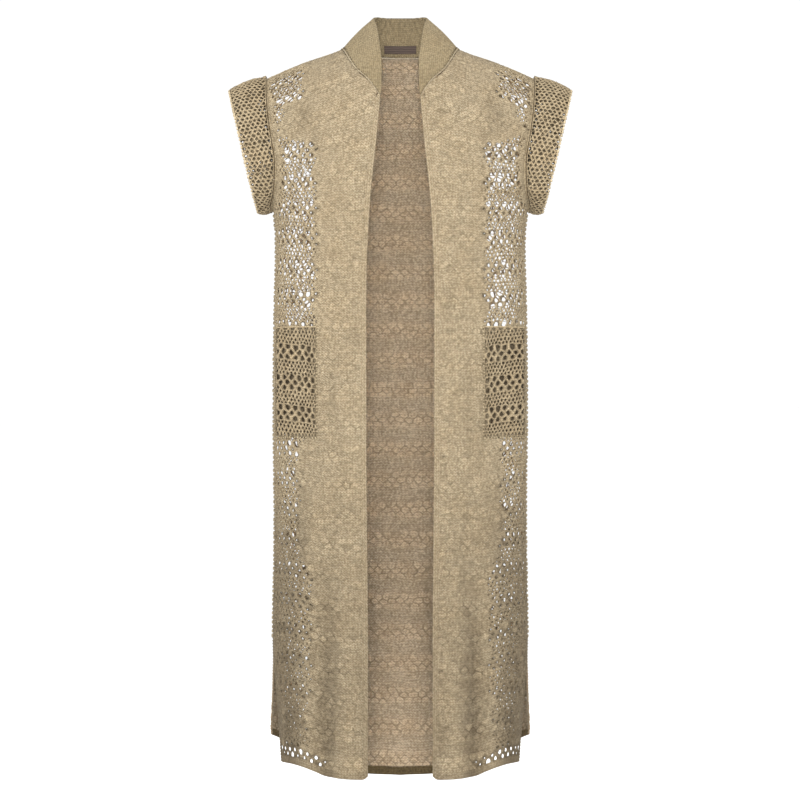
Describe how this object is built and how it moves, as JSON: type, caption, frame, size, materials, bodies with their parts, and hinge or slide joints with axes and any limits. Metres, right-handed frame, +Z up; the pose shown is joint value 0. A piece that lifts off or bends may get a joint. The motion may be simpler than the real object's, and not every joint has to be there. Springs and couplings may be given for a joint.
{
  "type": "open-knit sleeveless long cardigan",
  "caption": "Long open-fronted cardigan in an open knit, with a ribbed stand collar, turned-back cap cuffs, patch pockets and side slits, in its hollow worn form.",
  "frame": {"origin": "between the two neck points, at the height at which the wearer's shoulders carry the cloth", "axes": "+Z up, -Y the way the open front faces, +X to the wearer's left"},
  "size_m": [0.5052, 0.2418, 1.1447],
  "materials": {
    "open_knit": "matt sand-beige yarn, open knit",
    "rib_knit": "matt sand-beige yarn, fine rib",
    "coarse_knit": "matt sand-beige yarn, coarse mesh",
    "label_tape": "dark woven tape"
  },
  "bodies": {
    "root": {"back": "open_knit", "front_left": "open_knit", "front_right": "open_knit", "collar": "rib_knit", "cuff_left": "coarse_knit", "cuff_right": "coarse_knit", "pocket_left": "coarse_knit", "pocket_right": "coarse_knit", "label": "label_tape"}
  },
  "joints": []
}
